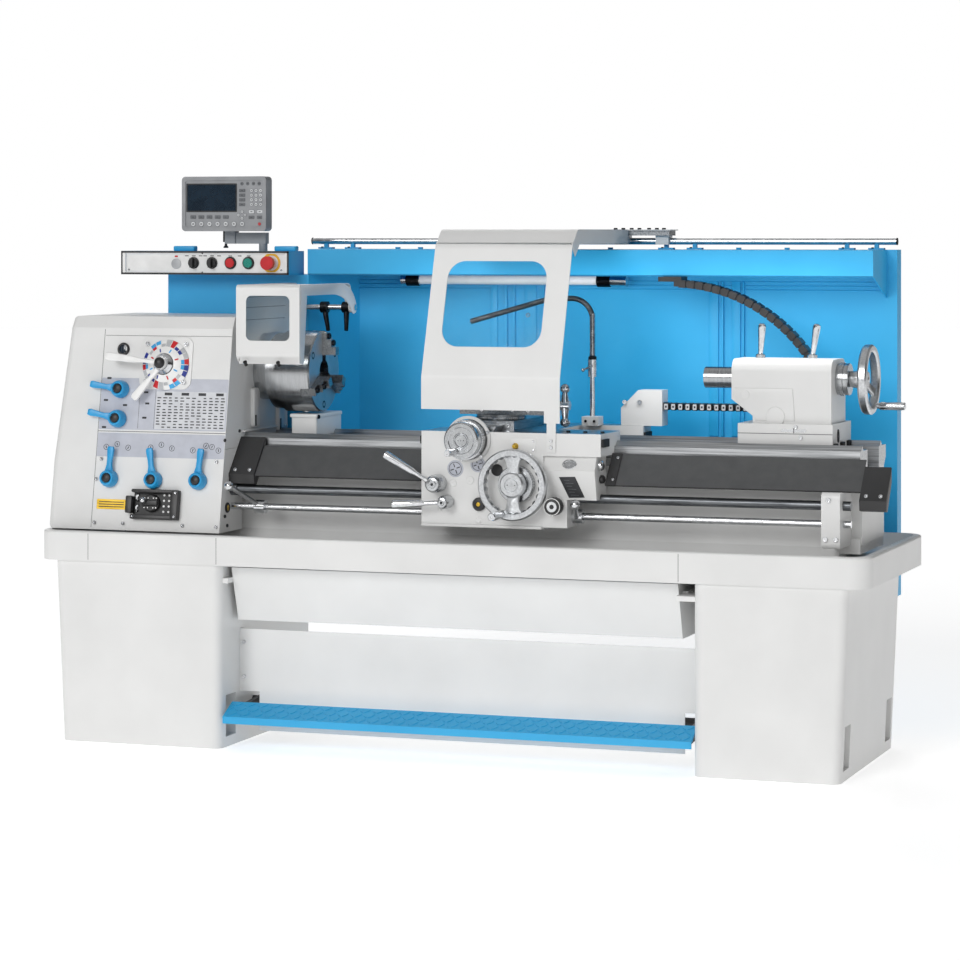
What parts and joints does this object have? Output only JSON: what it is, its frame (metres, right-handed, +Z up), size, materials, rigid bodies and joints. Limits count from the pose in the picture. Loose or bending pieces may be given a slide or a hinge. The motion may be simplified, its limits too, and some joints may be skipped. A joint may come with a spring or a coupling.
{
  "type": "centre lathe",
  "caption": "Manual centre lathe on two cabinets with chip tray, splash guard, sliding shield, digital readout, chuck guard, apron hand wheels and a quill tailstock.",
  "frame": {"origin": "floor level, middle of the tray's length, on the spindle axis in plan", "axes": "+X along the bed to the tailstock, -Y towards the operator, +Z up"},
  "size_m": [2.484, 0.878, 1.651],
  "materials": {
    "paint_white": "semi gloss enamel",
    "paint_blue": "semi gloss enamel",
    "steel": "ground and turned",
    "chrome": "polished",
    "dark_steel": "oiled",
    "charcoal": "matte",
    "black_plastic": "matte",
    "readout_grey": "textured",
    "red_plastic": "gloss",
    "green_plastic": "gloss"
  },
  "bodies": {
    "frame": {"headstock_cabinet": "paint_white", "tailstock_cabinet": "paint_white", "chip_tray": "paint_white", "kick_panel": "paint_white", "bed": "paint_white", "headstock": "paint_white", "end_cover": "paint_white", "guard_shaft": "steel", "way_cover_boxes": "charcoal", "way_cover_left": "charcoal", "way_cover_right": "charcoal", "splash_guard": "paint_blue", "control_box": "paint_blue", "guard_rail": "steel", "work_lamp": "black_plastic", "cable_chain": "black_plastic", "cable_chain_lower": "black_plastic"},
    "drawer": {"chip_drawer": "paint_white"},
    "brake": {"foot_brake": "dark_steel"},
    "spindle": {"spindle": "steel", "chuck_body": "steel"},
    "jaw_1": {"jaw_1": "steel"},
    "jaw_2": {"jaw_2": "steel"},
    "jaw_3": {"jaw_3": "steel"},
    "chuck_guard": {"chuck_guard": "paint_white"},
    "carriage": {"saddle": "paint_white", "apron": "paint_white", "shield": "paint_white", "coolant_pipe": "steel"},
    "carriage_handwheel": {"carriage_handwheel": "chrome"},
    "cross_slide": {"cross_slide": "steel"},
    "cross_handwheel": {"cross_handwheel": "chrome"},
    "top_slide": {"top_slide": "steel", "tool_post": "steel"},
    "top_slide_handle": {"top_slide_handle": "chrome"},
    "tool_post_lever": {"tool_post_lever": "chrome"},
    "feed_lever": {"feed_lever": "chrome"},
    "half_nut_lever": {"half_nut_lever": "chrome"},
    "leadscrew": {"leadscrew": "dark_steel"},
    "control_rod": {"control_rod": "steel"},
    "apron_start_lever": {"apron_start_lever": "chrome"},
    "tailstock": {"tailstock_body": "paint_white"},
    "quill": {"quill": "steel"},
    "tailstock_handwheel": {"tailstock_handwheel": "chrome"},
    "quill_lock_lever": {"quill_lock_lever": "chrome"},
    "tailstock_clamp_lever": {"tailstock_clamp_lever": "chrome"},
    "gear_lever_1": {"gear_lever_1": "paint_blue"},
    "gear_lever_2": {"gear_lever_2": "paint_blue"},
    "gear_lever_3": {"gear_lever_3": "paint_blue"},
    "gear_lever_4": {"gear_lever_4": "paint_blue"},
    "gear_lever_5": {"gear_lever_5": "paint_blue"},
    "speed_lever_1": {"speed_lever_1": "paint_white"},
    "speed_lever_2": {"speed_lever_2": "paint_white"},
    "feed_selector": {"feed_selector": "black_plastic"},
    "stop_button": {"stop_button": "red_plastic"},
    "start_button": {"start_button": "green_plastic"},
    "halt_button": {"halt_button": "red_plastic"},
    "selector_1": {"selector_1": "black_plastic"},
    "selector_2": {"selector_2": "black_plastic"},
    "readout": {"readout": "readout_grey"}
  },
  "joints": [
    {"name": "drawer_slide", "type": "slide", "parent": "frame", "child": "drawer", "axis": [0, -1, 0], "range_m": [0, 0.32]},
    {"name": "brake_pedal", "type": "hinge", "parent": "frame", "child": "brake", "pos_m": [0, -0.132, 0.11], "axis": [1, 0, 0], "range_deg": [0, 8], "stiffness_Nm_per_rad": 110, "springref_deg": -20.05},
    {"name": "spindle_spin", "type": "hinge", "parent": "frame", "child": "spindle", "pos_m": [-0.6777, 0, 1.071], "axis": [1, 0, 0], "continuous": true},
    {"name": "jaw_1_slide", "type": "slide", "parent": "spindle", "child": "jaw_1", "axis": [0, 0, 1], "range_m": [-0.012, 0.006]},
    {"name": "jaw_2_slide", "type": "slide", "parent": "spindle", "child": "jaw_2", "axis": [0, -0.866, -0.5], "range_m": [-0.012, 0.006]},
    {"name": "jaw_3_slide", "type": "slide", "parent": "spindle", "child": "jaw_3", "axis": [0, 0.866, -0.5], "range_m": [-0.012, 0.006]},
    {"name": "guard_lift", "type": "hinge", "parent": "frame", "child": "chuck_guard", "pos_m": [-0.6417, 0.14, 1.257], "axis": [-1, 0, 0], "range_deg": [0, 60]},
    {"name": "carriage_travel", "type": "slide", "parent": "frame", "child": "carriage", "axis": [1, 0, 0], "range_m": [-0.36, 0.15], "deforming": ["way_cover_left", "way_cover_right", "cable_chain_lower"]},
    {"name": "carriage_wheel", "type": "hinge", "parent": "carriage", "child": "carriage_handwheel", "pos_m": [0.219, -0.296, 0.778], "axis": [0, -1, 0], "continuous": true},
    {"name": "cross_travel", "type": "slide", "parent": "carriage", "child": "cross_slide", "axis": [0, 1, 0], "range_m": [-0.03, 0.09]},
    {"name": "cross_wheel", "type": "hinge", "parent": "carriage", "child": "cross_handwheel", "pos_m": [0.074, -0.296, 0.8993], "axis": [0, 1, 0], "range_deg": [-2160, 6480]},
    {"name": "top_slide_travel", "type": "slide", "parent": "cross_slide", "child": "top_slide", "axis": [1, 0, 0], "range_m": [-0.03, 0.024]},
    {"name": "top_slide_crank", "type": "hinge", "parent": "top_slide", "child": "top_slide_handle", "pos_m": [0.252, -0.095, 0.98845], "axis": [1, 0, 0], "range_deg": [-3600, 2880]},
    {"name": "tool_post_clamp", "type": "hinge", "parent": "top_slide", "child": "tool_post_lever", "pos_m": [0.102, -0.095, 1.0153], "axis": [0, 0, 1], "range_deg": [-60, 60]},
    {"name": "feed_engage", "type": "hinge", "parent": "carriage", "child": "feed_lever", "pos_m": [-0.016, -0.296, 0.774], "axis": [0, -1, 0], "range_deg": [-20, 15]},
    {"name": "half_nut_engage", "type": "hinge", "parent": "carriage", "child": "half_nut_lever", "pos_m": [0.012, -0.296, 0.723], "axis": [0, -1, 0], "range_deg": [0, 12]},
    {"name": "leadscrew_spin", "type": "hinge", "parent": "frame", "child": "leadscrew", "pos_m": [-0.6777, -0.239, 0.737], "axis": [1, 0, 0], "continuous": true},
    {"name": "control_rod_turn", "type": "hinge", "parent": "frame", "child": "control_rod", "pos_m": [-0.6777, -0.239, 0.687], "axis": [1, 0, 0], "range_deg": [-12, 12]},
    {"name": "apron_start_turn", "type": "hinge", "parent": "carriage", "child": "apron_start_lever", "pos_m": [0.462, -0.239, 0.687], "axis": [1, 0, 0], "range_deg": [-12, 12]},
    {"name": "tailstock_travel", "type": "slide", "parent": "frame", "child": "tailstock", "axis": [1, 0, 0], "range_m": [-0.06, 0.06]},
    {"name": "quill_feed", "type": "slide", "parent": "tailstock", "child": "quill", "axis": [-1, 0, 0], "range_m": [0, 0.11]},
    {"name": "quill_wheel", "type": "hinge", "parent": "tailstock", "child": "tailstock_handwheel", "pos_m": [1.066, 0, 1.071], "axis": [-1, 0, 0], "range_deg": [0, 7920]},
    {"name": "quill_lock", "type": "hinge", "parent": "tailstock", "child": "quill_lock_lever", "pos_m": [0.842, 0, 1.127], "axis": [0, 0, 1], "range_deg": [-30, 60]},
    {"name": "tailstock_clamp", "type": "hinge", "parent": "tailstock", "child": "tailstock_clamp_lever", "pos_m": [0.985, 0.03, 1.127], "axis": [0, 0, 1], "range_deg": [-30, 60]},
    {"name": "gear_lever_1_turn", "type": "hinge", "parent": "frame", "child": "gear_lever_1", "pos_m": [-1.021, -0.26204, 1.02036], "axis": [0, -0.9863, 0.1649], "range_deg": [-25, 25]},
    {"name": "gear_lever_2_turn", "type": "hinge", "parent": "frame", "child": "gear_lever_2", "pos_m": [-1.023, -0.27639, 0.93455], "axis": [0, -0.9863, 0.1649], "range_deg": [-25, 25]},
    {"name": "gear_lever_3_turn", "type": "hinge", "parent": "frame", "child": "gear_lever_3", "pos_m": [-1.036, -0.30542, 0.76096], "axis": [0, -0.9863, 0.1649], "range_deg": [-25, 25]},
    {"name": "gear_lever_4_turn", "type": "hinge", "parent": "frame", "child": "gear_lever_4", "pos_m": [-0.894, -0.30559, 0.75997], "axis": [0, -0.9863, 0.1649], "range_deg": [-25, 25]},
    {"name": "gear_lever_5_turn", "type": "hinge", "parent": "frame", "child": "gear_lever_5", "pos_m": [-0.752, -0.30542, 0.76096], "axis": [0, -0.9863, 0.1649], "range_deg": [-25, 25]},
    {"name": "speed_lever_1_turn", "type": "hinge", "parent": "frame", "child": "speed_lever_1", "pos_m": [-0.88, -0.24984, 1.09334], "axis": [0, -0.9863, 0.1649], "range_deg": [-30, 30]},
    {"name": "speed_lever_2_turn", "type": "hinge", "parent": "frame", "child": "speed_lever_2", "pos_m": [-0.88, -0.24984, 1.09334], "axis": [0, -0.9863, 0.1649], "range_deg": [-30, 30]},
    {"name": "feed_selector_turn", "type": "hinge", "parent": "frame", "child": "feed_selector", "pos_m": [-0.895, -0.31664, 0.69389], "axis": [0, -0.9863, 0.1649], "range_deg": [-45, 45]},
    {"name": "stop_press", "type": "slide", "parent": "frame", "child": "stop_button", "axis": [0, 1, 0], "range_m": [0, 0.004], "stiffness_N_per_m": 800, "springref_m": -0.004},
    {"name": "start_press", "type": "slide", "parent": "frame", "child": "start_button", "axis": [0, 1, 0], "range_m": [0, 0.004], "stiffness_N_per_m": 800, "springref_m": -0.004},
    {"name": "halt_press", "type": "slide", "parent": "frame", "child": "halt_button", "axis": [0, 1, 0], "range_m": [0, 0.004], "stiffness_N_per_m": 800, "springref_m": -0.004},
    {"name": "selector_1_turn", "type": "hinge", "parent": "frame", "child": "selector_1", "pos_m": [-0.898, 0.114, 1.389], "axis": [0, -1, 0], "range_deg": [-45, 45]},
    {"name": "selector_2_turn", "type": "hinge", "parent": "frame", "child": "selector_2", "pos_m": [-0.959, 0.114, 1.389], "axis": [0, -1, 0], "range_deg": [-45, 45]},
    {"name": "readout_swivel", "type": "hinge", "parent": "frame", "child": "readout", "pos_m": [-0.759, 0.182, 1.389], "axis": [0, 0, 1], "range_deg": [-40, 40]}
  ],
  "couplings": [
    {"joint": "jaw_2_slide", "follows": "jaw_1_slide", "ratio": 1},
    {"joint": "jaw_3_slide", "follows": "jaw_1_slide", "ratio": 1},
    {"joint": "carriage_wheel", "follows": "carriage_travel", "rad_per_m": -157.08},
    {"joint": "cross_travel", "follows": "cross_wheel", "m_per_rad": 0.00079577},
    {"joint": "top_slide_travel", "follows": "top_slide_crank", "m_per_rad": 0.00047746},
    {"joint": "apron_start_turn", "follows": "control_rod_turn", "ratio": 1},
    {"joint": "quill_feed", "follows": "quill_wheel", "m_per_rad": 0.00079577}
  ]
}
